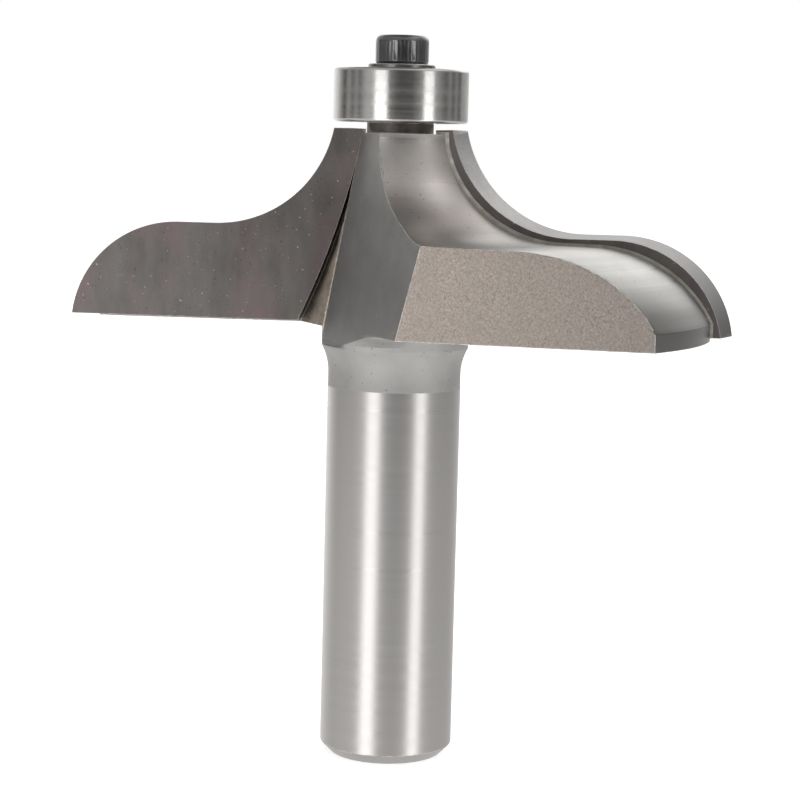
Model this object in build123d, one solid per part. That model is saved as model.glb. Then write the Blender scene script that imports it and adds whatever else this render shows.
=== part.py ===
from build123d import *
import math
import os

# Two-wing table-edge router bit with a pilot ball bearing.
# Millimetres. Z runs up the axis, the centre of the shank's flat end is the origin,
# and each wing's cutting face stands parallel to the XZ plane.

# ---- shank and neck --------------------------------------------------------------
SHANK_DIAMETER = 12.7
SHANK_END_CHAMFER = 1.0
SHANK_GROUND_TO = 35.6          # the collet grips the ground length below this height
NECK_UNDERCUT = 0.03            # the unground neck is this much smaller in radius
FLARE_START = 36.9
FLARE_RADIUS = 5.2
COLLAR_STEP = 0.63              # collar over the shank, in radius
COLLAR_BLEND_REACH = 4.5        # the hollow in which the collar runs out into the wings' underside
COLLAR_BLEND_DROP = 1.3

# ---- carbide plates --------------------------------------------------------------
CUTTER_DIAMETER = 63.5
RAKE_OFFSET = 1.28              # cutting face to the plane through the axis
CARBIDE_THICKNESS = 2.45
CARBIDE_BOTTOM = 41.45
PLATE_HEIGHT = 18.5
FLAT_RISE = 9.17                # flat between the two curves, above the plate's bottom
EDGE_NOSE = 6.457               # top end of the cutting edge, from the axis plane
EDGE_COVE_RADIUS = 11.5
EDGE_VEX_RADIUS = 10.4
RELIEF_INWARD = 1.15            # how far the back of the plate is ground in towards the axis
RELIEF_DOWN = 0.38              # and down towards the shank
PLATE_TOP_WIDTH = 2.857         # from the nose of the cutting edge to the plate's inner end
PLATE_INNER_MIDDLE = 5.95       # inner end of the plate half way down and at its bottom, from the axis
PLATE_INNER_BOTTOM = 9.6
BRAZE_THICKNESS = 0.15
BRAZE_BEAD = 0.22               # how far the silver solder stands out over the steel edge

# ---- turned steel head -----------------------------------------------------------
STEEL_STEP = 1.95               # steel wing inside the cutting circle, in radius
UNDERSIDE_STEP = 0.3            # steel underside below the plates
RIM_LAND = 1.65                 # upright band above the underside
RIM_LEAN = 26.3                 # degrees, how far the outward curve leans in where it leaves the band
VEX_RADIUS = 12.19              # outward-curved part, in half section
COVE_RADIUS = 10.29             # hollow part, in half section
FLAT_STEP = 0.97                # steel below the cutting edge at the foot of the hollow
TOP_STEP = 0.4                  # steel below the plates at the top
NOSE_STEP = 0.497               # steel inside the nose of the cutting edge at the top

# ---- gullets and trailing flats --------------------------------------------------
POCKET_GAP = 0.12               # plate end to the end wall of its pocket
GULLET_DROP = 1.85              # gullets run out this far below the plates
CORNER_BOTTOM_OUT = 7.05        # where the pocket's end wall meets the gullet wall, from the axis
CORNER_BOTTOM_FRONT = 1.1       # and how far it lies in front of the axis
CORNER_TOP_OUT = 3.55
CORNER_TOP_BACK = 0.9           # at the top it lies behind the axis
WALL_TURN_BOTTOM = 31.2         # degrees from the YZ plane to the gullet wall
WALL_TURN_TOP = 18.2
WALL_STRAIGHT_SHARE = 0.55      # part of the gullet's height where the wall keeps its lower turn
WALL_STRAIGHT_SECTIONS = 5
WALL_TURNING_SECTIONS = 5
TRAILING_OFFSET = 14.0          # back of the wing to the axis, along Y
TRAILING_TURN = 8.2             # degrees, so that the wing thickens outward

# ---- bearing seat on the head ----------------------------------------------------
SHOULDER_DIAMETER = 6.3
SHOULDER_HEIGHT = 1.0
POST_CLEARANCE = 0.02
POST_BELOW_FACE = 0.25          # post stops short so that the washer clamps the inner ring
THREAD_DIAMETER = 2.84
THREAD_CLEARANCE = 0.03
TAPPED_DEPTH = 10.5

# ---- ball bearing ----------------------------------------------------------------
BEARING_OD = 12.7
BEARING_BORE = 4.7625
BEARING_WIDTH = 4.978
BEARING_CHAMFER = 0.28
BALL_DIAMETER = 2.381
BALL_COUNT = 7
BALL_CLEARANCE = 0.02
GROOVE_EXTRA = 0.05             # race groove radius over the ball radius
INNER_RING_WALL = 1.119
OUTER_RING_WALL = 1.1
CAGE_SHEET = 0.22
CAGE_BAND = 0.9                 # width of the cage ring in the radial direction
CAGE_CLEARANCE = 0.05
SHIELD_SHEET = 0.2
SHIELD_RECESS = 0.42            # ring face to the outside of the shield
SHIELD_SEAT_STEP = 0.5          # counterbore for the shield, cut into the outer ring's wall
SHIELD_GAP = 0.08               # shield to the inner ring
SNAP_WIRE = 0.28
SNAP_GROOVE_STEP = 0.2          # groove beyond that counterbore
SNAP_OPENING = 24.0             # degrees left open in the wire ring
SNAP_CLEARANCE = 0.03

# ---- washer and screw ------------------------------------------------------------
WASHER_OD = 6.3
WASHER_BORE = 3.0
WASHER_THICKNESS = 0.45
WASHER_EDGE = 0.1
HEAD_DIAMETER = 5.0
HEAD_HEIGHT = 2.7
HEAD_EDGE = 0.35
SOCKET_FLATS = 2.38
SOCKET_DEPTH = 1.5
SCREW_LENGTH = 9.525
SCREW_END_CHAMFER = 0.3

# ---- worked out from the above ---------------------------------------------------
SEAT_PLANE = RAKE_OFFSET + CARBIDE_THICKNESS + BRAZE_THICKNESS
COLLAR_DIAMETER = SHANK_DIAMETER + 2 * COLLAR_STEP
CARBIDE_TOP = CARBIDE_BOTTOM + PLATE_HEIGHT
EDGE_FLAT_HEIGHT = CARBIDE_BOTTOM + FLAT_RISE
GULLET_BOTTOM = CARBIDE_BOTTOM - GULLET_DROP
EDGE_COVE_CENTRE = EDGE_FLAT_HEIGHT + EDGE_COVE_RADIUS
EDGE_COVE_FOOT = EDGE_NOSE + math.sqrt(EDGE_COVE_RADIUS ** 2 - (EDGE_COVE_CENTRE - CARBIDE_TOP) ** 2)
PLATE_INNER_TOP = EDGE_NOSE - PLATE_TOP_WIDTH
WING_BOTTOM = CARBIDE_BOTTOM - UNDERSIDE_STEP
HEAD_TOP = CARBIDE_TOP - TOP_STEP
STEEL_RADIUS = CUTTER_DIAMETER / 2 - STEEL_STEP
STEEL_NOSE = EDGE_NOSE - NOSE_STEP
SEAT_TOP = HEAD_TOP + SHOULDER_HEIGHT
INNER_RING_OD = BEARING_BORE + 2 * INNER_RING_WALL
OUTER_RING_BORE = BEARING_OD - 2 * OUTER_RING_WALL
SHIELD_SEAT_DIAMETER = OUTER_RING_BORE + 2 * SHIELD_SEAT_STEP
SNAP_GROOVE_DIAMETER = SHIELD_SEAT_DIAMETER + 2 * SNAP_GROOVE_STEP
BEARING_TOP = SEAT_TOP + BEARING_WIDTH
BEARING_MIDDLE = SEAT_TOP + BEARING_WIDTH / 2
WASHER_TOP = BEARING_TOP + WASHER_THICKNESS
POST_RADIUS = BEARING_BORE / 2 - POST_CLEARANCE
PITCH_RADIUS = (BEARING_OD + BEARING_BORE) / 4
BALL_RADIUS = BALL_DIAMETER / 2
FAR = 1.5 * STEEL_RADIUS        # well outside the head


def save(shape, name):
    export_step(shape, f"parts/{name}.step")


def half_turn(shape):
    return Rot(0, 0, 180) * shape


def circle_offset(height, circle_radius):
    """How far a circle's side lies from its centre line at a height above or below its centre."""
    return math.sqrt(circle_radius ** 2 - height ** 2)


def head_outline(skin=0.0):
    """Half section of the turned head from rim to top, thickened outward by a skin."""
    lean = math.radians(RIM_LEAN)
    vex_foot = STEEL_RADIUS - VEX_RADIUS * math.cos(lean)
    vex_centre = WING_BOTTOM + RIM_LAND - VEX_RADIUS * math.sin(lean)
    cove_centre = EDGE_FLAT_HEIGHT - FLAT_STEP + COVE_RADIUS
    cove_foot = STEEL_NOSE + circle_offset(cove_centre - HEAD_TOP, COVE_RADIUS)
    vex = VEX_RADIUS + skin
    cove = COVE_RADIUS - skin
    rim = STEEL_RADIUS + skin
    top = HEAD_TOP + skin
    vex_end = vex_centre + circle_offset(rim - vex_foot, vex)
    vex_middle = (rim + vex_foot) / 2
    cove_top = cove_foot - circle_offset(cove_centre - top, cove)
    slant = cove * math.sqrt(0.5)
    return [
        Line((rim, WING_BOTTOM), (rim, vex_end)),
        ThreePointArc(
            (rim, vex_end),
            (vex_middle, vex_centre + circle_offset(vex_middle - vex_foot, vex)),
            (vex_foot, vex_centre + vex),
        ),
        Line((vex_foot, vex_centre + vex), (cove_foot, cove_centre - cove)),
        ThreePointArc(
            (cove_foot, cove_centre - cove),
            (cove_foot - slant, cove_centre - slant),
            (cove_top, top),
        ),
    ]


def turned(curves):
    """A solid of revolution about Z from a closed half section in radius and height."""
    return revolve(Rot(90, 0, 0) * make_face(Curve() + curves), Axis.Z)


def turned_blank():
    """Shank, neck, collar, head, shoulder and bearing post as one turned piece."""
    shank = SHANK_DIAMETER / 2
    neck = shank - NECK_UNDERCUT
    collar = COLLAR_DIAMETER / 2
    shoulder = SHOULDER_DIAMETER / 2
    flare_rise = circle_offset(FLARE_RADIUS - (collar - neck), FLARE_RADIUS)
    flare_middle = neck + FLARE_RADIUS - circle_offset(flare_rise / 2, FLARE_RADIUS)
    post_top = BEARING_TOP - POST_BELOW_FACE
    head = head_outline()
    shank_side = Polyline(
        (0, post_top),
        (0, 0),
        (shank - SHANK_END_CHAMFER, 0),
        (shank, SHANK_END_CHAMFER),
        (shank, SHANK_GROUND_TO),
        (neck, SHANK_GROUND_TO),
        (neck, FLARE_START),
    )
    flare = ThreePointArc(
        (neck, FLARE_START),
        (flare_middle, FLARE_START + flare_rise / 2),
        (collar, FLARE_START + flare_rise),
    )
    blend_radius = (COLLAR_BLEND_REACH ** 2 / COLLAR_BLEND_DROP + COLLAR_BLEND_DROP) / 2
    blend_middle = blend_radius - circle_offset(COLLAR_BLEND_REACH / 2, blend_radius)
    collar_side = Line(
        (collar, FLARE_START + flare_rise),
        (collar, WING_BOTTOM - COLLAR_BLEND_DROP),
    )
    collar_blend = ThreePointArc(
        (collar, WING_BOTTOM - COLLAR_BLEND_DROP),
        (collar + COLLAR_BLEND_REACH / 2, WING_BOTTOM - blend_middle),
        (collar + COLLAR_BLEND_REACH, WING_BOTTOM),
    )
    underside = Line((collar + COLLAR_BLEND_REACH, WING_BOTTOM), head[0] @ 0)
    post = Polyline(
        head[-1] @ 1,
        (shoulder, HEAD_TOP),
        (shoulder, SEAT_TOP),
        (POST_RADIUS, SEAT_TOP),
        (POST_RADIUS, post_top),
        (0, post_top),
    )
    bore = THREAD_DIAMETER / 2 + THREAD_CLEARANCE
    hole = Cylinder(bore, TAPPED_DEPTH, align=(Align.CENTER, Align.CENTER, Align.MAX))
    outline = [shank_side, flare, collar_side, collar_blend, underside, *head, post]
    return turned(outline) - Pos(0, 0, post_top) * hole


def plate_inner_curve():
    """The curved inner end of a plate, from its bottom to its top, in X and height."""
    middle = (CARBIDE_TOP + CARBIDE_BOTTOM) / 2
    return ThreePointArc(
        (-PLATE_INNER_BOTTOM, CARBIDE_BOTTOM),
        (-PLATE_INNER_MIDDLE, middle),
        (-PLATE_INNER_TOP, CARBIDE_TOP),
    )


def plate_inner_at(height):
    """Distance from the axis plane to the inner end of a plate at one height."""
    share = (CARBIDE_TOP - height) / (CARBIDE_TOP - CARBIDE_BOTTOM)
    bow = (PLATE_INNER_TOP + PLATE_INNER_BOTTOM) / 2 - PLATE_INNER_MIDDLE
    straight = PLATE_INNER_TOP + (PLATE_INNER_BOTTOM - PLATE_INNER_TOP) * share
    return straight - 4 * bow * share * (1 - share)


def gullet():
    """The space milled away in front of the wing along -X, lofted through sections up the axis."""
    corner_bottom = Vector(-CORNER_BOTTOM_OUT, -CORNER_BOTTOM_FRONT)
    corner_top = Vector(-CORNER_TOP_OUT, CORNER_TOP_BACK)
    shares = [
        WALL_STRAIGHT_SHARE * step / WALL_STRAIGHT_SECTIONS
        for step in range(WALL_STRAIGHT_SECTIONS)
    ]
    shares += [
        1 - (1 - WALL_STRAIGHT_SHARE) * step / (WALL_TURNING_SECTIONS - 1)
        for step in reversed(range(WALL_TURNING_SECTIONS))
    ]
    sections = []
    for share in shares:
        height = GULLET_BOTTOM + share * (SEAT_TOP - GULLET_BOTTOM)
        turned_share = max(0, share - WALL_STRAIGHT_SHARE) / (1 - WALL_STRAIGHT_SHARE)
        turn = WALL_TURN_BOTTOM - (WALL_TURN_BOTTOM - WALL_TURN_TOP) * turned_share
        corner = corner_bottom + (corner_top - corner_bottom) * share
        wall_end = corner + Vector(0, -FAR).rotate(Axis.Z, turn)
        pocket = POCKET_GAP - plate_inner_at(height)
        outline = Polyline(
            (pocket, SEAT_PLANE),
            (corner.X, corner.Y),
            (wall_end.X, wall_end.Y),
            (-FAR, wall_end.Y),
            (-FAR, SEAT_PLANE),
            close=True,
        )
        sections.append(Pos(0, 0, height) * make_face(outline))
    return loft(sections)


def trailing_cut():
    """The block milled off behind the wing that lies along +X."""
    block = Box(4 * FAR, 2 * FAR, 2 * FAR, align=(Align.CENTER, Align.MAX, Align.CENTER))
    return Pos(0, -TRAILING_OFFSET, WING_BOTTOM + FAR) * Rot(0, 0, -TRAILING_TURN) * block


def cutter_body():
    body = turned_blank()
    for tool in (gullet(), trailing_cut()):
        body = body - tool
        body = body - half_turn(tool)
    return body


def plate_outline(inward, down):
    """Outline of the left plate in X and height, its cutting edge moved in and down."""
    reach = math.sqrt((CUTTER_DIAMETER / 2) ** 2 - RAKE_OFFSET ** 2)
    tip_rise = CARBIDE_BOTTOM - (EDGE_FLAT_HEIGHT - EDGE_VEX_RADIUS)
    vex_x = reach - circle_offset(tip_rise, EDGE_VEX_RADIUS) - inward
    cove_x = EDGE_COVE_FOOT - inward
    flat = EDGE_FLAT_HEIGHT - down
    vex_centre = flat - EDGE_VEX_RADIUS
    cove_centre = flat + EDGE_COVE_RADIUS
    tip = vex_x + circle_offset(CARBIDE_BOTTOM - vex_centre, EDGE_VEX_RADIUS)
    nose = cove_x - circle_offset(cove_centre - CARBIDE_TOP, EDGE_COVE_RADIUS)
    slant_in = EDGE_COVE_RADIUS * math.sqrt(0.5)
    slant_out = EDGE_VEX_RADIUS * math.sqrt(0.5)
    return [
        plate_inner_curve(),
        Line((-PLATE_INNER_TOP, CARBIDE_TOP), (-nose, CARBIDE_TOP)),
        ThreePointArc(
            (-nose, CARBIDE_TOP),
            (slant_in - cove_x, cove_centre - slant_in),
            (-cove_x, flat),
        ),
        Line((-cove_x, flat), (-vex_x, flat)),
        ThreePointArc(
            (-vex_x, flat),
            (-vex_x - slant_out, vex_centre + slant_out),
            (-tip, CARBIDE_BOTTOM),
        ),
        Line((-tip, CARBIDE_BOTTOM), (-PLATE_INNER_BOTTOM, CARBIDE_BOTTOM)),
    ]


def upright_face(curves, y):
    """A face drawn in X and height, standing at one place along Y."""
    return Pos(0, y, 0) * Rot(90, 0, 0) * make_face(Curve() + curves)


def carbide_plate():
    """Cutting plate of the left wing, ground back from its edge for clearance."""
    front = upright_face(plate_outline(0, 0), RAKE_OFFSET)
    back = upright_face(plate_outline(RELIEF_INWARD, RELIEF_DOWN), RAKE_OFFSET + CARBIDE_THICKNESS)
    return loft([front, back], ruled=True)


def braze_seam():
    """Silver solder between plate and wing, with a bead that shows along the steel's edge."""
    back = upright_face(plate_outline(RELIEF_INWARD, RELIEF_DOWN), SEAT_PLANE)
    sheet = extrude(back, amount=BRAZE_THICKNESS, dir=(0, -1, 0))
    head = head_outline(BRAZE_BEAD)
    closing = Polyline(head[-1] @ 1, (0, HEAD_TOP + BRAZE_BEAD), (0, WING_BOTTOM), head[0] @ 0)
    return sheet & turned([*head, closing])


def bearing_ring(inner, outer, groove_centre):
    """One ring of the bearing with its ball groove, as a solid of revolution."""
    ring = Cylinder(outer, BEARING_WIDTH) - Cylinder(inner, BEARING_WIDTH)
    groove = Torus(PITCH_RADIUS + groove_centre, BALL_RADIUS + GROOVE_EXTRA)
    return ring - groove


def outer_ring():
    """Outer ring: ball groove, chamfered running face, and a stepped seat for shield and wire."""
    ring = bearing_ring(OUTER_RING_BORE / 2, BEARING_OD / 2, BALL_CLEARANCE - GROOVE_EXTRA)
    rim_edges = ring.edges().filter_by(GeomType.CIRCLE).filter_by(
        lambda edge: abs(edge.radius - BEARING_OD / 2) < 1e-6
    )
    ring = chamfer(rim_edges, BEARING_CHAMFER)
    face = BEARING_WIDTH / 2
    shield_top = face - SHIELD_RECESS
    seat_depth = SHIELD_RECESS + SHIELD_SHEET
    for side in (0, 180):
        seat = Pos(0, 0, face - seat_depth / 2) * Cylinder(SHIELD_SEAT_DIAMETER / 2, seat_depth)
        wire_height = SNAP_WIRE + SNAP_CLEARANCE
        groove = Pos(0, 0, shield_top + wire_height / 2) * Cylinder(SNAP_GROOVE_DIAMETER / 2, wire_height)
        ring = ring - Rot(side, 0, 0) * (seat + groove)
    return Pos(0, 0, BEARING_MIDDLE) * ring


def inner_ring():
    ring = bearing_ring(BEARING_BORE / 2, INNER_RING_OD / 2, GROOVE_EXTRA - BALL_CLEARANCE)
    return Pos(0, 0, BEARING_MIDDLE) * ring


def ball(index):
    turn = 360 * index / BALL_COUNT
    return Pos(0, 0, BEARING_MIDDLE) * Rot(0, 0, turn) * Pos(PITCH_RADIUS, 0, 0) * Sphere(BALL_RADIUS)


def cage_half():
    """Upper half of the pressed ribbon cage: a flat ring with a round pocket over each ball."""
    inner = PITCH_RADIUS - CAGE_BAND / 2
    outer = PITCH_RADIUS + CAGE_BAND / 2
    pocket = BALL_RADIUS + CAGE_CLEARANCE
    shell = pocket + CAGE_SHEET
    upward = (Align.CENTER, Align.CENTER, Align.MIN)
    band = Cylinder(outer, shell, align=upward) - Cylinder(inner, shell, align=upward)
    ring = Cylinder(outer, CAGE_SHEET, align=upward) - Cylinder(inner, CAGE_SHEET, align=upward)
    places = [Rot(0, 0, 360 * index / BALL_COUNT) * Pos(PITCH_RADIUS, 0, 0) for index in range(BALL_COUNT)]
    for place in places:
        ring = ring + (place * Sphere(shell) & band)
    for place in places:
        ring = ring - place * Sphere(pocket)
    return ring


def shield():
    """Pressed cover that closes the upper side of the bearing."""
    height = BEARING_WIDTH / 2 - SHIELD_RECESS - SHIELD_SHEET / 2
    disc = Cylinder(SHIELD_SEAT_DIAMETER / 2, SHIELD_SHEET)
    hole = Cylinder(INNER_RING_OD / 2 + SHIELD_GAP, SHIELD_SHEET)
    return Pos(0, 0, height) * (disc - hole)


def snap_ring():
    """Open wire ring that holds the upper shield in its seat."""
    height = BEARING_WIDTH / 2 - SHIELD_RECESS + SNAP_WIRE / 2
    centre = SNAP_GROOVE_DIAMETER / 2 - SNAP_CLEARANCE - SNAP_WIRE / 2
    section = Plane.XZ * Pos(centre, height) * Rectangle(SNAP_WIRE, SNAP_WIRE)
    return revolve(section, Axis.Z, revolution_arc=360 - SNAP_OPENING)


def upper_and_lower(shape):
    """The same piece above and below the middle of the bearing."""
    middle = Pos(0, 0, BEARING_MIDDLE)
    return middle * shape, middle * Rot(180, 0, 0) * shape


def washer():
    plate = Cylinder(WASHER_OD / 2, WASHER_THICKNESS) - Cylinder(WASHER_BORE / 2, WASHER_THICKNESS)
    outer_edges = plate.edges().filter_by(GeomType.CIRCLE).group_by(SortBy.LENGTH)[-1]
    plate = chamfer(outer_edges, WASHER_EDGE)
    return Pos(0, 0, BEARING_TOP + WASHER_THICKNESS / 2) * plate


def cap_screw():
    """Socket head screw, pointing down the post."""
    upward = (Align.CENTER, Align.CENTER, Align.MIN)
    head = Cylinder(HEAD_DIAMETER / 2, HEAD_HEIGHT, align=upward)
    head = fillet(head.edges().group_by(Axis.Z)[-1], HEAD_EDGE)
    socket = extrude(RegularPolygon(SOCKET_FLATS / 2, 6, major_radius=False), -SOCKET_DEPTH)
    head = head - Pos(0, 0, HEAD_HEIGHT) * socket
    shank = Cylinder(THREAD_DIAMETER / 2, SCREW_LENGTH, align=upward)
    shank = chamfer(shank.edges().group_by(Axis.Z)[0], SCREW_END_CHAMFER)
    return Pos(0, 0, WASHER_TOP) * (head + Pos(0, 0, -SCREW_LENGTH) * shank)


os.makedirs("parts", exist_ok=True)

save(cutter_body(), "cutter_body")

plate = carbide_plate()
seam = braze_seam()
save(plate, "carbide_tip_a")
save(half_turn(plate), "carbide_tip_b")
save(seam, "braze_seam_a")
save(half_turn(seam), "braze_seam_b")

save(outer_ring(), "bearing_outer_ring")
save(inner_ring(), "bearing_inner_ring")
for index in range(BALL_COUNT):
    save(ball(index), f"bearing_ball_{index + 1}")
for name, shape in (("cage", cage_half()), ("shield", shield()), ("snap_ring", snap_ring())):
    upper, lower = upper_and_lower(shape)
    save(upper, f"{name}_upper")
    save(lower, f"{name}_lower")

save(washer(), "washer")
save(cap_screw(), "cap_screw")
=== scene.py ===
# %% [markdown]
# # A router bit, piece by piece
# The CAD model gives every piece its true place and size. This lesson loads that frame, models the
# visible pieces again with finer edges, gives each its own metal finish, and sets up a small studio.

# %% Load the frame
import bpy
import bmesh
import math
from mathutils import Matrix, Vector


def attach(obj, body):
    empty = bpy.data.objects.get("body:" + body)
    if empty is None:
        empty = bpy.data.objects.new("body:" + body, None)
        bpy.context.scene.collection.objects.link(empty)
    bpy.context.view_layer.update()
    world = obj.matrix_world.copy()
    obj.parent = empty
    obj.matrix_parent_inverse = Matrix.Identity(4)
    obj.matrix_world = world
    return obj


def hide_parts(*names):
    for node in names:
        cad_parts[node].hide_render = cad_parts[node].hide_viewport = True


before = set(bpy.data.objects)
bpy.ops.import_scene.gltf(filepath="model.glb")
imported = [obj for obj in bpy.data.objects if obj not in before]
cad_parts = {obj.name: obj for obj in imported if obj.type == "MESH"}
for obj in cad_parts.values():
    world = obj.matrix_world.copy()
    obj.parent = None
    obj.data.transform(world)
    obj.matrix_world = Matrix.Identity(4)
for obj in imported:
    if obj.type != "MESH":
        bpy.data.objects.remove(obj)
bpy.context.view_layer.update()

# %% [markdown]
# ## Working like a lathe
# Most of this bit was turned on a lathe, so most pieces start as one ring of vertices. The ring is
# extruded and scaled again and again, up the outline of the piece, just as one would do by hand with
# E and S. Each helper below is one such habit. Sizes are in millimetres and become metres here.

# %% Helpers for turning
MM = 0.001


def nothing_selected():
    """Leave edit mode and deselect all, because operators act on whatever is selected."""
    if bpy.context.object and bpy.context.object.mode != "OBJECT":
        bpy.ops.object.mode_set(mode="OBJECT")
    bpy.ops.object.select_all(action="DESELECT")


def edit_everything():
    """Go into edit mode with everything selected."""
    bpy.ops.object.mode_set(mode="EDIT")
    bpy.ops.mesh.select_all(action="SELECT")


def open_new(name):
    """Name the object that an operator has just made, and open it in edit mode."""
    piece = bpy.context.object
    piece.name = name
    piece.data.name = name
    edit_everything()
    return piece


def extrude(step):
    """Extrude what is selected. The step is in metres."""
    bpy.ops.mesh.extrude_region_move(TRANSFORM_OT_translate={"value": step})


def widen(scale):
    """Scale what is selected away from the axis, or towards it."""
    bpy.ops.transform.resize(value=(scale, scale, 1), center_override=(0, 0, 0))


def slice_off(place, outward):
    """Bisect the whole mesh through a place and throw away what lies outward of it."""
    bpy.ops.mesh.select_all(action="SELECT")
    bpy.ops.mesh.bisect(plane_co=place, plane_no=outward, use_fill=True, clear_outer=True)


def pick_vertices(piece, wanted):
    """In edit mode, select only the vertices whose place passes a test."""
    bpy.ops.mesh.select_mode(type="VERT")
    bpy.ops.mesh.select_all(action="DESELECT")
    mesh = bmesh.from_edit_mesh(piece.data)
    for vertex in mesh.verts:
        vertex.select = wanted(vertex.co / MM)
    mesh.select_flush(True)
    bmesh.update_edit_mesh(piece.data)


def pick_edges(piece, wanted):
    """In edit mode, select only the edges whose two ends pass a test."""
    bpy.ops.mesh.select_mode(type="EDGE")
    bpy.ops.mesh.select_all(action="DESELECT")
    mesh = bmesh.from_edit_mesh(piece.data)
    for edge in mesh.edges:
        edge.select = wanted(edge.verts[0].co / MM, edge.verts[1].co / MM)
    bmesh.update_edit_mesh(piece.data)


def ring(name, radius, height, count):
    """One ring of vertices about the axis, left in edit mode with all of it selected."""
    nothing_selected()
    bpy.ops.mesh.primitive_circle_add(vertices=count, radius=radius * MM, location=(0, 0, 0))
    piece = open_new(name)
    bpy.ops.transform.translate(value=(0, 0, height * MM))
    return piece


def grow_ring(before, after):
    """Extrude the selected ring to a new radius and height."""
    extrude((0, 0, (after[1] - before[1]) * MM))
    widen(after[0] / before[0])


def turn_piece(name, outline, count, closed=False):
    """Turn a piece from its outline. An open outline gets a pole at both ends, a closed one none."""
    piece = ring(name, outline[0][0], outline[0][1], count)
    stops = outline + [outline[0]] if closed else outline
    for before, after in zip(stops, stops[1:]):
        grow_ring(before, after)
    if not closed:
        grow_ring(outline[-1], (outline[-1][0] * 0.5, outline[-1][1]))
        bpy.ops.mesh.merge(type="CENTER")
        radius, height = outline[0]
        pick_vertices(piece, lambda p: abs(p.z - height) < 0.001 and abs(p.xy.length - radius) < 0.002)
        grow_ring(outline[0], (radius * 0.5, height))
        bpy.ops.mesh.merge(type="CENTER")
    tidy_mesh()
    return piece


def tidy_mesh():
    """Merge doubled vertices, point the faces outward and leave edit mode."""
    bpy.ops.mesh.select_all(action="SELECT")
    bpy.ops.mesh.remove_doubles(threshold=0.002 * MM)
    bpy.ops.mesh.normals_make_consistent(inside=False)
    bpy.ops.object.mode_set(mode="OBJECT")


def arc(centre, radius, start, end, steps):
    """Points of an arc in the half section, its angles in degrees from straight outward."""
    points = []
    for step in range(steps + 1):
        angle = math.radians(start + (end - start) * step / steps)
        points.append((centre[0] + radius * math.cos(angle), centre[1] + radius * math.sin(angle)))
    return points


def angle_at(centre, point):
    return math.degrees(math.atan2(point[1] - centre[1], point[0] - centre[0]))


def only(piece):
    """Make one piece the selected and active one."""
    nothing_selected()
    piece.select_set(True)
    bpy.context.view_layer.objects.active = piece


def modify(piece, kind, **settings):
    """Add a modifier with its settings, and apply it."""
    only(piece)
    bpy.ops.object.modifier_add(type=kind)
    modifier = piece.modifiers[-1]
    for label, value in settings.items():
        setattr(modifier, label, value)
    bpy.ops.object.modifier_apply(modifier=modifier.name)


def soften(piece, width, segments=2, angle=30, finish=-1):
    """Break the sharp edges with a Bevel. Its faces can have a finish of their own."""
    modify(piece, "BEVEL", width=width * MM, segments=segments, limit_method="ANGLE",
           angle_limit=math.radians(angle), use_clamp_overlap=False, material=finish)


def smooth(piece, angle=28):
    """Smooth shading below an angle, then face weights, so that flats stay flat up to their edges."""
    only(piece)
    bpy.ops.object.shade_smooth_by_angle(angle=math.radians(angle))
    modify(piece, "WEIGHTED_NORMAL", keep_sharp=True, weight=80)


def carve(piece, tool, operation="DIFFERENCE"):
    """Cut a piece with another mesh by an exact Boolean, then throw the tool away."""
    modify(piece, "BOOLEAN", operation=operation, solver="EXACT", object=tool)
    bpy.data.objects.remove(tool)


def half_turn(piece, name):
    """A copy with its own mesh, turned by half a turn about the axis."""
    only(piece)
    bpy.ops.object.duplicate()
    copy = open_new(name)
    bpy.ops.transform.rotate(value=math.pi, orient_axis="Z", center_override=(0, 0, 0))
    bpy.ops.object.mode_set(mode="OBJECT")
    return copy


def triangles(piece):
    return sum(len(face.vertices) - 2 for face in piece.data.polygons)


print("helpers are ready, and one millimetre is", MM, "in Blender's units")

# %% [markdown]
# ## The turned blank
# The steel body begins as one turned blank: shank, undercut neck, flare, collar, underside, rim, the
# outward curve, the flat, the hollow, the shoulder, whose dark colour is painted shade, and the post
# that carries the bearing. One outline run up from the shank end keeps it a single skin, which the cuts
# below need.

# %% Outline of the blank
SHANK = 6.35
CHAMFER = 1.0
GROUND_TO = 35.6
COLLAR = 6.98
BLEND_REACH = 4.5
BLEND_DROP = 1.3
NECK = 6.32
FLARE_START = 36.9
FLARE = 5.2
UNDERSIDE = 41.15
RIM = 29.8
RIM_LAND = 1.65
RIM_LEAN = math.radians(26.3)
VEX = 12.19
COVE = 10.29
FLAT = 49.65
HEAD_TOP = 59.55
STEEL_NOSE = 5.96
SEAT_TOP = 60.55
SHOULDER = 3.15
POST = 2.361
BEARING_TOP = 65.528
POST_TOP = 65.278


def side(height, radius):
    """How far a circle's side lies from its upright centre line, at a height from its centre."""
    return math.sqrt(radius ** 2 - height ** 2)


def head_curve(skin=0.0):
    """The profile from rim to nose, thickened outward by a skin."""
    vex_centre = (RIM - VEX * math.cos(RIM_LEAN), UNDERSIDE + RIM_LAND - VEX * math.sin(RIM_LEAN))
    cove_centre = (STEEL_NOSE + side(FLAT + COVE - HEAD_TOP, COVE), FLAT + COVE)
    rim_end = (RIM + skin, vex_centre[1] + side(RIM + skin - vex_centre[0], VEX + skin))
    top = HEAD_TOP + skin
    nose = (cove_centre[0] - side(cove_centre[1] - top, COVE - skin), top)
    outward = arc(vex_centre, VEX + skin, angle_at(vex_centre, rim_end), 90, 34)
    hollow = arc(cove_centre, COVE - skin, 270, angle_at(cove_centre, nose) % 360, 34)
    return [(RIM + skin, UNDERSIDE)] + outward + hollow


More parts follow.
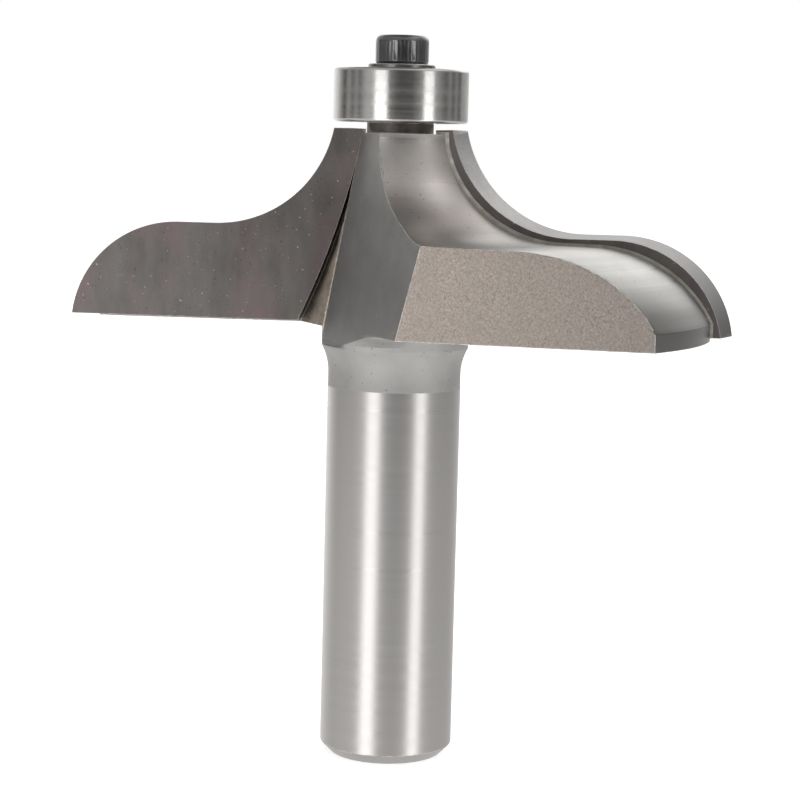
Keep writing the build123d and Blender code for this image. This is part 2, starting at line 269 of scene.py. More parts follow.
flare_rise = side(FLARE - (COLLAR - NECK), FLARE)
flare_centre = (NECK + FLARE, FLARE_START)
flare_end = 180 - math.degrees(math.asin(flare_rise / FLARE))
blend = (BLEND_REACH ** 2 / BLEND_DROP + BLEND_DROP) / 2
blend_centre = (COLLAR + BLEND_REACH, UNDERSIDE - blend)
blend_start = angle_at(blend_centre, (COLLAR, UNDERSIDE - BLEND_DROP))

blank_outline = [(SHANK - CHAMFER, 0), (SHANK, CHAMFER)]
blank_outline += [(SHANK, CHAMFER + (GROUND_TO - CHAMFER) * step / 4) for step in range(1, 5)]
blank_outline += [(NECK, GROUND_TO + 0.1), (NECK, FLARE_START)]
blank_outline += arc(flare_centre, FLARE, 180, flare_end, 8)[1:]
blank_outline += arc(blend_centre, blend, blend_start, 90, 10)
blank_outline += [(15.0, UNDERSIDE), (20.0, UNDERSIDE)]
blank_outline += head_curve()
blank_outline += [(SHOULDER, HEAD_TOP), (SHOULDER, SEAT_TOP), (POST, SEAT_TOP), (POST, POST_TOP)]
print("the blank's outline has", len(blank_outline), "rings")

# %% Turn the blank
body = turn_piece("body", blank_outline, 256)
print("blank:", triangles(body), "triangles")

# %% [markdown]
# ## Milling the gullets
# In front of each carbide plate the mill has cleared a gullet. Its wall twists as it rises, so the
# cutter is a column of sections: a five-sided face is extruded upward a little at a time and each
# new corner is nudged to where that section has it. The wall is subdivided along its length, because
# a long twisted face would be split along one diagonal and leave steps. A Boolean then takes the
# column out of the blank, and its half turn out of the other side. In the same way a third of a ring
# squares off the soft hollow beside the collar, under each wing. The trailing flats are plain planes,
# so Bisect is enough.

# %% The gullet's sections
SEAT_PLANE = 3.88
GULLET_BOTTOM = 39.6
PLATE_BOTTOM = 41.45
PLATE_TOP = 59.95
PLATE_END = 3.6
PLATE_END_SLANT = 6.0
PLATE_END_BOW = 2.6
POCKET_GAP = 0.12
CORNER_LOW = (-7.05, -1.1)
CORNER_HIGH = (-3.55, 0.9)
WALL_TURN = 31.2
WALL_UNTURN = 13.0
WALL_STRAIGHT = 0.55
WALL_TURNING = 0.45
FAR = 44.7


def plate_end(height):
    """Distance from the axis to the inner end of a plate at one height."""
    share = (PLATE_TOP - height) / (PLATE_TOP - PLATE_BOTTOM)
    return PLATE_END + PLATE_END_SLANT * share - PLATE_END_BOW * share * (1 - share)


def gullet_section(height):
    """Five corners in plan. The wall keeps its turn for the straight share, then turns back."""
    share = (height - GULLET_BOTTOM) / (SEAT_TOP - GULLET_BOTTOM)
    turn = math.radians(WALL_TURN - WALL_UNTURN * max(0, share - WALL_STRAIGHT) / WALL_TURNING)
    corner = Vector(CORNER_LOW).lerp(Vector(CORNER_HIGH), share)
    end = corner + Vector((math.sin(turn), -math.cos(turn))) * FAR
    pocket = Vector((POCKET_GAP - plate_end(height), SEAT_PLANE))
    return [pocket, corner, end, Vector((-FAR, end.y)), Vector((-FAR, SEAT_PLANE))]


print("the gullet column has", len(gullet_section(GULLET_BOTTOM)), "corners in each section")


# %% Draw a section and extrude it upward
def nudge(piece, old, new, height):
    """Move one vertex at a height from an old place to a new one."""
    pick_vertices(piece, lambda p: abs(p.z - height) < 0.001 and (p.xy - old).length < 0.003)
    step = new - old
    bpy.ops.transform.translate(value=(step.x * MM, step.y * MM, 0))


def draw_outline(name, points):
    """Start from a plane merged to one point, and extrude that point round an outline."""
    nothing_selected()
    bpy.ops.mesh.primitive_plane_add(size=MM, location=(0, 0, 0))
    piece = open_new(name)
    bpy.ops.mesh.select_mode(type="VERT")
    bpy.ops.mesh.merge(type="CENTER")
    bpy.ops.transform.translate(value=Vector(points[0]) * MM)
    for before, after in zip(points, points[1:]):
        extrude((Vector(after) - Vector(before)) * MM)
    bpy.ops.mesh.select_all(action="SELECT")
    bpy.ops.mesh.edge_face_add()
    return piece


def gullet_tool():
    """The column the gullet cutter clears. One section stands where the wall starts to turn."""
    shares = [WALL_STRAIGHT * step / 7 for step in range(7)]
    shares += [WALL_STRAIGHT + WALL_TURNING * step / 8 for step in range(9)]
    heights = [GULLET_BOTTOM + (SEAT_TOP - GULLET_BOTTOM) * share for share in shares]
    section = gullet_section(heights[0])
    tool = draw_outline("gullet_tool", [(p.x, p.y, heights[0]) for p in section])
    for below, above in zip(heights, heights[1:]):
        pick_vertices(tool, lambda p: abs(p.z - below) < 0.001)
        extrude((0, 0, (above - below) * MM))
        raised = gullet_section(above)
        for old, new in zip(section, raised):
            nudge(tool, old, new, above)
        section = raised
    pick_edges(tool, lambda a, b: a.z == b.z and abs((a - b).length - FAR) < 0.01)
    bpy.ops.mesh.subdivide(number_cuts=14)
    tidy_mesh()
    return tool


cutters = [gullet_tool()]
print("gullet column:", triangles(cutters[0]), "triangles")


# %% Bisect a ring for the hollow under the wing
SQUARED_FROM = -170
SQUARED_TO = -42


def square_tool():
    """Part of a ring between two azimuths in degrees. It stands 0.01 mm off the faces that stay."""
    low = UNDERSIDE - BLEND_DROP - 0.1
    top, inner, outside = UNDERSIDE + 0.01, COLLAR + 0.01, 12.0
    section = [(inner, low), (inner, top), (outside, top), (outside, low)]
    tool = turn_piece("square_tool", section, 256, closed=True)
    edit_everything()
    for azimuth, sign in ((SQUARED_TO, 1), (SQUARED_FROM, -1)):
        turn = math.radians(azimuth)
        outward = (sign * math.cos(turn), sign * math.sin(turn), 0)
        slice_off((0, 0, 0), outward)
    tidy_mesh()
    return tool


cutters.insert(0, square_tool())
print("ring sector:", triangles(cutters[0]), "triangles")

# %% Cut the gullets and the trailing flats
for tool in cutters:
    other = half_turn(tool, tool.name + "_2")
    carve(body, tool)
    carve(body, other)

TRAILING_OFFSET = 14.0
TRAILING_TURN = math.radians(8.2)
TRAILING_DISTANCE = TRAILING_OFFSET * math.cos(TRAILING_TURN)
back = Vector((-math.sin(TRAILING_TURN), -math.cos(TRAILING_TURN), 0))
only(body)
edit_everything()
for outward in (back, -back):
    slice_off(outward * TRAILING_DISTANCE * MM, outward)
bpy.ops.mesh.select_all(action="SELECT")
bpy.ops.mesh.remove_doubles(threshold=0.03 * MM)
bpy.ops.object.mode_set(mode="OBJECT")
print("body after milling:", triangles(body), "triangles")

# %% [markdown]
# ## Finishes of the body
# One piece of steel shows eight finishes. Each tool left its own on the ground shank, the satin neck,
# the turned profile, the milled gullet wall, the rough pocket behind the plate and the blasted trailing
# flat. The shoulder's dark colour is painted shade under the bearing, and the light edges are wear with
# a painted highlight. They are material slots on one mesh. Faces get theirs by place and normal. The
# faces that the bevel makes get the edge colour, except round the collar and the rim, where they keep
# their neighbours' finish.

# %% Name the finishes and hand out the slots
def new_material(name):
    material = bpy.data.materials.new(name)
    material.use_nodes = True
    return material


ON_WALL = 0.07
BODY_FINISHES = ["ground_shank", "satin_neck", "turned_profile", "milled_wall", "pocket_wall",
                 "blasted_flat", "shoulder_painted_shade", "edge_wear_and_highlight"]
for finish in BODY_FINISHES:
    body.data.materials.append(new_material(finish))


def near_line(point, start, end):
    """Distance from a point to a line through two others, all in plan."""
    return abs((point - start).cross((end - start).normalized()))


def gullet_finish(middle):
    """The finish left by the gullet cutter, or None where it didn't cut."""
    for side_sign in (1, -1):
        point = Vector((middle.x, middle.y)) * side_sign
        pocket, corner, end = gullet_section(middle.z)[:3]
        if near_line(point, corner, end) < ON_WALL and point.x > corner.x - 0.05:
            return "milled_wall"
        in_pocket = point.x < corner.x + 0.05 and corner.y - 0.05 < point.y < SEAT_PLANE + 0.02
        on_seat = abs(point.y - SEAT_PLANE) < 0.02
        if in_pocket and (on_seat or near_line(point, pocket, corner) < ON_WALL):
            return "pocket_wall"
    return None


def finish_of(face):
    """Which finish a face of the body has, from its middle and its normal."""
    middle = face.center / MM
    upright = abs(face.normal.z) < 0.5
    if GULLET_BOTTOM + 0.05 < middle.z < HEAD_TOP and upright and gullet_finish(middle):
        return gullet_finish(middle)
    if middle.z > HEAD_TOP + 0.05:
        return "shoulder_painted_shade"
    faces_back = abs(face.normal.dot(back)) > 0.9995
    if faces_back and abs(abs(middle.dot(back)) - TRAILING_DISTANCE) < 0.01:
        return "blasted_flat"
    if middle.z < GROUND_TO + 0.01:
        return "ground_shank"
    if middle.z < UNDERSIDE - 0.15 or middle.z < UNDERSIDE + 0.05 and face.normal.z < -0.9:
        return "satin_neck"
    return "turned_profile"


for face in body.data.polygons:
    face.material_index = BODY_FINISHES.index(finish_of(face))
for index, finish in enumerate(BODY_FINISHES):
    print(finish, sum(1 for face in body.data.polygons if face.material_index == index), "faces")

# %% Break the edges of the body
# The bevel's faces get the edge colour: wear with a painted highlight along every broken edge.
soften(body, 0.06, angle=20, finish=BODY_FINISHES.index("edge_wear_and_highlight"))
for face in body.data.polygons:
    middle = face.center / MM
    if BODY_FINISHES[face.material_index] != "edge_wear_and_highlight":
        continue
    if 36 < middle.z < UNDERSIDE and middle.xy.length < COLLAR + BLEND_REACH:
        face.material_index = BODY_FINISHES.index("satin_neck")
    elif abs(middle.z - UNDERSIDE - RIM_LAND) < 0.3 and abs(middle.xy.length - RIM) < 0.2:
        face.material_index = BODY_FINISHES.index("turned_profile")
smooth(body)
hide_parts("cutter_body")
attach(body, "cutter")
print("body with broken edges:", triangles(body), "triangles")

# %% [markdown]
# ## The carbide plates
# Each wing carries a plate of sintered carbide whose outline is the moulding that the bit cuts. The
# outline is drawn point by point and filled, then extruded back. The back outline is shifted in and
# down, which is the clearance grind, and two bisects square off the top and bottom.

# %% Model one plate and its half turn
RAKE = 1.28
THICK = 2.45
CUTTER = 31.75
EDGE_FLAT = 50.62
EDGE_COVE = 11.5
EDGE_VEX = 10.4
EDGE_NOSE = 6.457
RELIEF = (1.15, 0.38)


def plate_outline(y):
    """The left plate's outline at one depth, running a little past its top and bottom."""
    reach = side(RAKE, CUTTER)
    vex_height = EDGE_FLAT - EDGE_VEX
    vex_centre = (reach - side(PLATE_BOTTOM - vex_height, EDGE_VEX), vex_height)
    cove_height = EDGE_FLAT + EDGE_COVE
    cove_centre = (EDGE_NOSE + side(cove_height - PLATE_TOP, EDGE_COVE), cove_height)
    low = math.degrees(math.asin(0.2 / EDGE_VEX))
    outward = arc(vex_centre, EDGE_VEX, low, 90, 30)
    hollow = arc(cove_centre, EDGE_COVE, 270, 186, 30)
    inner = [PLATE_TOP + 1.0 - (PLATE_TOP + 2.0 - PLATE_BOTTOM) * step / 20 for step in range(21)]
    profile = outward + hollow + [(plate_end(height), height) for height in inner]
    return [(-x, y, z) for x, z in profile]


def plate_blank(name, front, thickness):
    """Draw the outline and extrude it back."""
    piece = draw_outline(name, plate_outline(front))
    extrude((0, thickness * MM, 0))
    return piece


def on_edge(p):
    """True on the cutting edge's side of the outline."""
    return -p.x > plate_end(p.z) + 0.5


def relieve(piece, wanted):
    """Shift the cutting edge's side in and down, then square off the ends."""
    pick_vertices(piece, wanted)
    bpy.ops.transform.translate(value=(RELIEF[0] * MM, 0, -RELIEF[1] * MM))
    slice_off((0, 0, PLATE_TOP * MM), (0, 0, 1))
    slice_off((0, 0, PLATE_BOTTOM * MM), (0, 0, -1))
    tidy_mesh()


plate = plate_blank("plate_a", RAKE, THICK)
relieve(plate, lambda p: p.y > RAKE + 1 and on_edge(p))
print("plate:", triangles(plate), "triangles")

# %% [markdown]
# ## The solder
# The plates are brazed to the wings, and a thin bead of silver solder stands along the steel's edge.
# It is the sheet behind the plate cut to the turned profile with a little skin added, so that the bead
# follows every curve of the steel.

# %% Model the solder sheets
BEAD = 0.22
seam = plate_blank("seam_a", RAKE + THICK, 0.15)
relieve(seam, on_edge)
skin_outline = [(5.0, UNDERSIDE), (20.0, UNDERSIDE)] + head_curve(BEAD) + [(3.0, HEAD_TOP + BEAD)]
carve(seam, turn_piece("skin", skin_outline, 256), "INTERSECT")
print("solder:", triangles(seam), "triangles")

# %% Break the edges and make the half turns
PLATE_FINISHES = ["ground_carbide", "ground_margin", "edge_wear_and_highlight"]
for finish in PLATE_FINISHES:
    plate.data.materials.append(bpy.data.materials.get(finish) or new_material(finish))
for face in plate.data.polygons:
    edge_face = abs(face.normal.y) < 0.7 and on_edge(face.center / MM)
    face.material_index = PLATE_FINISHES.index("ground_margin") if edge_face else 0
# The plate's bevel faces get the edge colour: wear with a painted highlight.
soften(plate, 0.035, finish=PLATE_FINISHES.index("edge_wear_and_highlight"))
soften(seam, 0.03)
for piece in (plate, seam):
    smooth(piece)
plates = [plate, half_turn(plate, "plate_b")]
seams = [seam, half_turn(seam, "seam_b")]
for piece, letter in zip(plates, "ab"):
    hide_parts(f"carbide_tip_{letter}")
    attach(piece, "cutter")
for piece, letter in zip(seams, "ab"):
    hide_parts(f"braze_seam_{letter}")
    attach(piece, "cutter")
print("plates and seams:", [piece.name for piece in plates + seams])

# %% [markdown]
# ## The ball bearing
# The pilot bearing is a stock part: two ground rings, seven balls in a pressed cage, and a shield on
# each side held by a wire ring. Its outer ring, inner ring and shields are turned again here with
# proper lips and rounded corners. The balls and the cage sit inside the shields and keep their CAD
# shape.

# %% Turn the rings and shields
BEARING = 6.35
BORE = 2.382
TRACK = 5.556
HALF = 4.978 / 2
MIDDLE = SEAT_TOP + HALF


def about_middle(half_outline):
    """Close an outline: the upper half going up the outside, then the lower half mirrored."""
    upper = [(radius, MIDDLE + height) for radius, height in half_outline]
    lower = [(radius, MIDDLE - height) for radius, height in reversed(half_outline)]
    return upper + lower


corner = [(BEARING, HALF - 0.28), (6.30, HALF - 0.13), (6.20, HALF - 0.03), (6.07, HALF)]
lip = [(5.80, HALF), (5.75, HALF - 0.05), (5.75, HALF - 0.11), (5.95, HALF - 0.11), (5.95, HALF - 0.42)]
shield_seat = [(5.75, HALF - 0.42), (5.75, HALF - 0.62), (5.25, HALF - 0.62), (5.25, 1.05)]
groove = [(TRACK + 0.14, 0.55), (TRACK + 0.21, 0.2)]
outer = turn_piece("outer_ring", about_middle(corner + lip + shield_seat + groove), 192, closed=True)

inner_half = [(3.5, 0.9), (3.5, HALF - 0.15), (3.42, HALF - 0.04), (3.3, HALF)]
inner_half += [(2.5, HALF), (2.42, HALF - 0.04), (BORE, HALF - 0.14)]
inner = turn_piece("inner_ring", about_middle(inner_half), 128, closed=True)

SHIELD_HEIGHT = HALF - 0.52
dished = [(3.58, -0.10), (3.58, 0.06), (3.64, 0.10), (3.95, 0.10), (4.1, 0.04), (5.15, 0.04),
          (5.3, 0.10), (5.70, 0.10), (5.75, 0.05), (5.75, -0.10)]
upper = [(radius, MIDDLE + SHIELD_HEIGHT + height) for radius, height in dished]
lower = [(radius, MIDDLE - SHIELD_HEIGHT - height) for radius, height in dished]
upper_shield = turn_piece("shield_top", upper, 128, closed=True)
lower_shield = turn_piece("shield_bottom", lower, 128, closed=True)
print("rings:", triangles(outer), "and", triangles(inner), "triangles")

# %% Bend the wire rings
WIRE = 0.14
WIRE_RING = 5.78
WIRE_DEPTH = 0.27


def wire_ring(name, height):
    """A round wire: a small circle spun most of the way round, its ends filled."""
    nothing_selected()
    bpy.ops.mesh.primitive_circle_add(vertices=12, radius=WIRE * MM, location=(0, 0, 0))
    piece = open_new(name)
    bpy.ops.mesh.edge_face_add()
    bpy.ops.transform.rotate(value=math.pi / 2, orient_axis="X", center_override=(0, 0, 0))
    bpy.ops.transform.translate(value=(WIRE_RING * MM, 0, height * MM))
    bpy.ops.mesh.spin(steps=90, angle=math.radians(336), center=(0, 0, 0), axis=(0, 0, 1))
    tidy_mesh()
    return piece


upper_wire = wire_ring("wire_top", MIDDLE + HALF - WIRE_DEPTH)
lower_wire = wire_ring("wire_bottom", MIDDLE - HALF + WIRE_DEPTH)

bearing_slots = ((outer, "bearing_outer_ring", "outer_race", "bearing_steel"),
                 (inner, "bearing_inner_ring", "cutter", "bearing_steel"),
                 (upper_shield, "shield_upper", "outer_race", "pressed_steel"),
                 (lower_shield, "shield_lower", "outer_race", "pressed_steel"),
                 (upper_wire, "snap_ring_upper", "outer_race", "pressed_steel"),
                 (lower_wire, "snap_ring_lower", "outer_race", "pressed_steel"))
for piece, node, rides_on, slot in bearing_slots:
    smooth(piece, 35)
    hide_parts(node)
    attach(piece, rides_on)
    print(piece.name, triangles(piece), "triangles")

# %% [markdown]
# ## Washer and screw
# A socket head screw clamps the washer and the inner ring on the post. Its head is knurled so that
# fingers can start it. The knurl is real mesh: every fourth column of the head's side is pulled in a
# little. The hexagon socket is a Boolean cut, its floor a shallow drill point.

# %% Model the washer
WASHER = 3.15
WASHER_TOP = BEARING_TOP + 0.45
WASHER_EDGE = WASHER_TOP - 0.09
washer_outline = [(WASHER, BEARING_TOP + 0.07), (WASHER, WASHER_EDGE), (WASHER - 0.09, WASHER_TOP),
                  (1.5, WASHER_TOP), (1.5, BEARING_TOP), (WASHER - 0.07, BEARING_TOP)]
washer = turn_piece("washer_plate", washer_outline, 96, closed=True)
smooth(washer, 30)
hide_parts("washer")
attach(washer, "cutter")
print("washer:", triangles(washer), "triangles")

# %% Model the screw and its knurl
THREAD = 1.42
SCREW_LENGTH = 9.525
HEAD = 2.5
HEAD_HEIGHT = 2.7
HEAD_ROUND = 0.55
FLUTES = 36
FLUTE_TOP = 2.05
FLUTE_DEPTH = 0.984
screw_outline = [(0.9, WASHER_TOP - SCREW_LENGTH), (THREAD, WASHER_TOP - SCREW_LENGTH + 0.525),
                 (THREAD, WASHER_TOP), (2.3, WASHER_TOP), (2.44, WASHER_TOP + 0.1)]
screw_outline += [(HEAD, WASHER_TOP + height) for height in (0.22, 0.36, 2.0, 2.12)]
screw_outline += arc((HEAD - HEAD_ROUND, WASHER_TOP + HEAD_HEIGHT - HEAD_ROUND), HEAD_ROUND, 0, 90, 8)
screw_outline += [(1.75, WASHER_TOP + HEAD_HEIGHT)]
screw = turn_piece("screw", screw_outline, FLUTES * 4)


def in_flute(p):
    """True on every fourth column of the knurled band."""
    if not WASHER_TOP + 0.3 < p.z < WASHER_TOP + FLUTE_TOP or p.xy.length < HEAD - 0.1:
        return False
    return round(math.atan2(p.y, p.x) / math.tau * FLUTES * 4) % 4 == 0


only(screw)
edit_everything()
pick_vertices(screw, in_flute)
widen(FLUTE_DEPTH)
bpy.ops.object.mode_set(mode="OBJECT")
print("turned and knurled screw:", triangles(screw), "triangles")

# %% Cut the screw's hexagon socket
KEY = 1.19
DRILL_POINT = 0.35
nothing_selected()
bpy.ops.mesh.primitive_cylinder_add(vertices=6, radius=KEY / math.cos(math.pi / 6) * MM,
                                    depth=3.0 * MM, location=(0, 0, (WASHER_TOP + HEAD_HEIGHT) * MM))
key = bpy.context.object
bpy.ops.object.transform_apply(location=True, rotation=True, scale=True)
edit_everything()
pick_vertices(key, lambda p: p.z < WASHER_TOP + HEAD_HEIGHT)
extrude((0, 0, -DRILL_POINT * MM))
widen(0.1)
tidy_mesh()
carve(screw, key)
soften(screw, 0.03, 1, 50)
smooth(screw, 30)
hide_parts("cap_screw")
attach(screw, "cutter")
print("screw:", triangles(screw), "triangles")

# %% [markdown]
# ## Shared effects
# Four effects come back in several metals, so each is one node group with named inputs and outputs:
# lathe or grinding lines, soft blotches, small specks and a fine blasted grain. All read Object
# coordinates, so they stay in place on the piece however it is turned.

# %% Helpers for nodes
def group(name, inputs, outputs):
    """An empty node group with its sockets. Returns the group, its input and its output node."""
    made = bpy.data.node_groups.new(name, "ShaderNodeTree")
    for label, default in inputs:
        socket = made.interface.new_socket(label, in_out="INPUT", socket_type="NodeSocketFloat")
        socket.default_value = default
    for label in outputs:
        made.interface.new_socket(label, in_out="OUTPUT", socket_type="NodeSocketFloat")
    return made, made.nodes.new("NodeGroupInput"), made.nodes.new("NodeGroupOutput")


def add(tree, kind, **settings):
    """A node in a tree, with its properties set by name."""
    node = tree.nodes.new(kind)
    for label, value in settings.items():
        setattr(node, label, value)
    return node


def feed(tree, socket, value):
    """Give a socket a number or a colour, or link another node's output to it."""
    if isinstance(value, (int, float)):
        socket.default_value = value
    elif isinstance(value, tuple):
        socket.default_value = (*value, 1)
    else:
        tree.links.new(value, socket)


def number(tree, operation, *values):
    """A Math node. Each input is a number or another node's output."""
    node = add(tree, "ShaderNodeMath", operation=operation)
    for socket, value in zip(node.inputs, values):
        feed(tree, socket, value)
    return node.outputs[0]


def noise(tree, vector, size, detail=2.0, roughness=0.5):
    """A Noise Texture on a vector. The size, in millimetres, is another node's output."""
    node = add(tree, "ShaderNodeTexNoise")
    scale = number(tree, "DIVIDE", 1 / MM, size)
    labels = ("Vector", "Scale", "Detail", "Roughness")
    for label, value in zip(labels, (vector, scale, detail, roughness)):
        feed(tree, node.inputs[label], value)
    return node.outputs["Fac"]


def remap(tree, value, low, high, to_low=0.0, to_high=1.0):
    """A clamped Map Range node. Each end is a number or another node's output."""
    node = add(tree, "ShaderNodeMapRange", clamp=True)
    labels = ("Value", "From Min", "From Max", "To Min", "To Max")
    for label, given in zip(labels, (value, low, high, to_low, to_high)):
        feed(tree, node.inputs[label], given)
    return node.outputs["Result"]


def object_place(tree, stretch=None):
    """Object coordinates, if wanted drawn out along the axis by a factor from a group's input."""
    place = add(tree, "ShaderNodeTexCoord").outputs["Object"]
    if stretch is None:
        return place
    factors = add(tree, "ShaderNodeCombineXYZ")
    for socket, value in zip(factors.inputs, (1, 1, number(tree, "DIVIDE", 1.0, stretch))):
        feed(tree, socket, value)
    scaled = add(tree, "ShaderNodeVectorMath", operation="MULTIPLY")
    feed(tree, scaled.inputs[0], place)
    feed(tree, scaled.inputs[1], factors.outputs[0])
    return scaled.outputs[0]


def axes_of(tree, place):
    """The three numbers of a place or a direction."""
    node = add(tree, "ShaderNodeSeparateXYZ")
    feed(tree, node.inputs[0], place)
    return node.outputs[0], node.outputs[1], node.outputs[2]


print("node helpers are ready")

# %% The group of tool lines
lines, lines_in, lines_out = group("tool_lines", [("Spacing", 0.12), ("Wander", 0.3)],
                                   ["Height", "Tone"])
x, y, z = axes_of(lines, object_place(lines))
squares = number(lines, "ADD", number(lines, "POWER", x, 2.0), number(lines, "POWER", y, 2.0))
wander = number(lines, "MULTIPLY", lines_in.outputs["Wander"], 0.0001)
flat = add(lines, "ShaderNodeCombineXYZ")
feed(lines, flat.inputs[0], number(lines, "SQRT", squares))
feed(lines, flat.inputs[1], z)
feed(lines, flat.inputs[2], number(lines, "MULTIPLY", number(lines, "ARCTAN2", y, x), wander))
spacing = lines_in.outputs["Spacing"]
fine = noise(lines, flat.outputs[0], spacing, 3.0, 0.7)
coarse = noise(lines, flat.outputs[0], number(lines, "DIVIDE", spacing, 0.11))
both = number(lines, "MULTIPLY", number(lines, "ADD", fine, coarse), 0.5)
feed(lines, lines_out.inputs["Height"], remap(lines, fine, 0.3, 0.7))
feed(lines, lines_out.inputs["Tone"], remap(lines, both, 0.35, 0.65))
print("tool lines:", len(lines.nodes), "nodes")

# %% The groups of blotches, specks and grain
blotches, blotches_in, blotches_out = group("blotches", [("Size", 4.0), ("Stretch", 1.0)], ["Tone"])
drawn = object_place(blotches, blotches_in.outputs["Stretch"])
wide = noise(blotches, drawn, blotches_in.outputs["Size"], 4.0, 0.6)
feed(blotches, blotches_out.inputs["Tone"], remap(blotches, wide, 0.3, 0.7))

specks, specks_in, specks_out = group("specks", [("Size", 0.3), ("Amount", 0.1)], ["Mask"])
spots = noise(specks, object_place(specks), specks_in.outputs["Size"], 1.0)
edge = number(specks, "SUBTRACT", 0.8, specks_in.outputs["Amount"])
feed(specks, specks_out.inputs["Mask"], remap(specks, spots, edge, number(specks, "ADD", edge, 0.07)))

grain, grain_in, grain_out = group("blasted_grain", [("Size", 0.12), ("Stretch", 1.0)],
                                   ["Height", "Tone"])
drawn = object_place(grain, grain_in.outputs["Stretch"])
pits = noise(grain, drawn, grain_in.outputs["Size"], 3.0, 0.8)
feed(grain, grain_out.inputs["Height"], pits)
feed(grain, grain_out.inputs["Tone"], remap(grain, pits, 0.3, 0.7))
print("node groups:", [g.name for g in bpy.data.node_groups])

# %% [markdown]
# ## Metals
# Every metal is one Principled shader. Its colour is mixed between a light and a dark tone by the
# groups above, its roughness follows the same masks, and a Bump node cuts the tool lines. One
# function wires these to the shader, so that each finish below reads like a recipe.

# %% A recipe for metals
def use_group(tree, made, **values):
    """Place a node group with its own values, and return its outputs."""
    node = add(tree, "ShaderNodeGroup", node_tree=made)
    for label, value in values.items():
        node.inputs[label].default_value = value
    return node.outputs


def patches(tree, size, stretch=1.0):
    """The mask of soft blotches."""
    return use_group(tree, blotches, Size=size, Stretch=stretch)["Tone"]


def flecks(tree, size, amount):
    """The mask of small specks."""
    return use_group(tree, specks, Size=size, Amount=amount)["Mask"]


def tint(tree, fac, low, high):
    """Mix two colours by a mask. Each is a triple or another node's output."""
    node = add(tree, "ShaderNodeMix", data_type="RGBA")
    feed(tree, node.inputs["Factor"], fac)
    for label, colour in (("A", low), ("B", high)):
        feed(tree, [s for s in node.inputs if s.name == label and s.type == "RGBA"][0], colour)
    return [s for s in node.outputs if s.type == "RGBA"][0]


def shader_of(material):
    return material.node_tree.nodes["Principled BSDF"]


def metal(material, colour, rough, bump=None, metallic=1.0):
    """Wire a finish. Rough is (mask, low, high), and bump is (height, strength, depth in mm)."""
    tree = material.node_tree
    inputs = shader_of(material).inputs
    inputs["Metallic"].default_value = metallic
    feed(tree, inputs["Base Color"], colour)
    feed(tree, inputs["Roughness"], remap(tree, rough[0], 0, 1, rough[1], rough[2]))
    if bump:
        node = add(tree, "ShaderNodeBump")
        for label, value in zip(("Height", "Strength", "Distance"), (bump[0], bump[1], bump[2] * MM)):
            feed(tree, node.inputs[label], value)
        feed(tree, inputs["Normal"], node.outputs[0])
    print(material.name, "has", len(tree.nodes), "nodes")


def along(tree, axis, low, high):
    """A mask that rises from 0 to 1 between two distances from the middle along one axis, in mm."""
    distance = number(tree, "ABSOLUTE", axes_of(tree, object_place(tree))[axis])
    return remap(tree, distance, low * MM, high * MM)


def arris_wear_and_highlight(tree, width):
    """A ragged mask along the corner between the pocket and the gullet wall, for a light line there: a
    painted highlight with wear.
    """
    x, y, z = axes_of(tree, object_place(tree))
    out = remap(tree, z, GULLET_BOTTOM * MM, SEAT_TOP * MM, -CORNER_LOW[0] * MM, -CORNER_HIGH[0] * MM)
    away = number(tree, "ABSOLUTE", number(tree, "SUBTRACT", number(tree, "ABSOLUTE", x), out))
    reach = remap(tree, patches(tree, 0.45), 0.2, 1, width * 0.3 * MM, width * MM)
    return number(tree, "LESS_THAN", away, reach)


def cover(material, *pieces):
    """Give pieces their material."""
    for piece in pieces:
        piece.data.materials.append(material)


def finish_tree(name):
    """The material of a finish and its node tree. A new name makes a new material."""
    material = bpy.data.materials.get(name) or new_material(name)
    return material, material.node_tree


print("finishes so far:", len(bpy.data.materials))

# %% [markdown]
# ### Steel of the body
# The shank is ground bright for the collet. The neck stays satin. The profile keeps fine lathe lines.
# The gullet wall is milled and dark, and the trailing flats are blasted to a dull tan. In each recipe,
# cut is the tool's lines, patch is slow change of tone, spot is small marks, and pit is fine roughness.

# %% Ground shank and satin neck
material, tree = finish_tree("ground_shank")
cut = use_group(tree, lines, Spacing=0.1, Wander=0.4)
patch = patches(tree, 9.0)
base = tint(tree, cut["Tone"], (0.535, 0.52, 0.51), (0.59, 0.575, 0.565))
metal(material, tint(tree, patch, base, (0.57, 0.55, 0.54)),
      (cut["Tone"], 0.27, 0.33), (cut["Height"], 0.06, 0.01))

material, tree = finish_tree("satin_neck")
cut = use_group(tree, lines, Spacing=0.16, Wander=0.6)
patch = patches(tree, 3.0)
spot = flecks(tree, 0.3, 0.07)
base = tint(tree, patch, (0.55, 0.545, 0.535), (0.66, 0.655, 0.645))
metal(material, tint(tree, spot, base, (0.12, 0.10, 0.09)),
      (patch, 0.60, 0.70), (cut["Height"], 0.2, 0.01))

# %% Turned profile
material, tree = finish_tree("turned_profile")
cut = use_group(tree, lines, Spacing=0.14, Wander=0.3)
patch = patches(tree, 3.5)
stain = patches(tree, 7.0)
spot = flecks(tree, 0.22, 0.09)
base = tint(tree, patch, (0.52, 0.505, 0.49), (0.66, 0.645, 0.63))
stained = tint(tree, along(tree, 2, 48.0, 52.0), (0.56, 0.56, 0.55), (0.60, 0.535, 0.50))
base = tint(tree, stain, base, stained)
# The profile turns darker towards the rim, from 48.2 mm down to 44.3 mm.
base = tint(tree, along(tree, 2, 48.2, 44.3), base, (0.24, 0.236, 0.228))
metal(material, tint(tree, spot, base, (0.22, 0.18, 0.16)),
      (cut["Tone"], 0.27, 0.37), (cut["Height"], 0.25, 0.012))

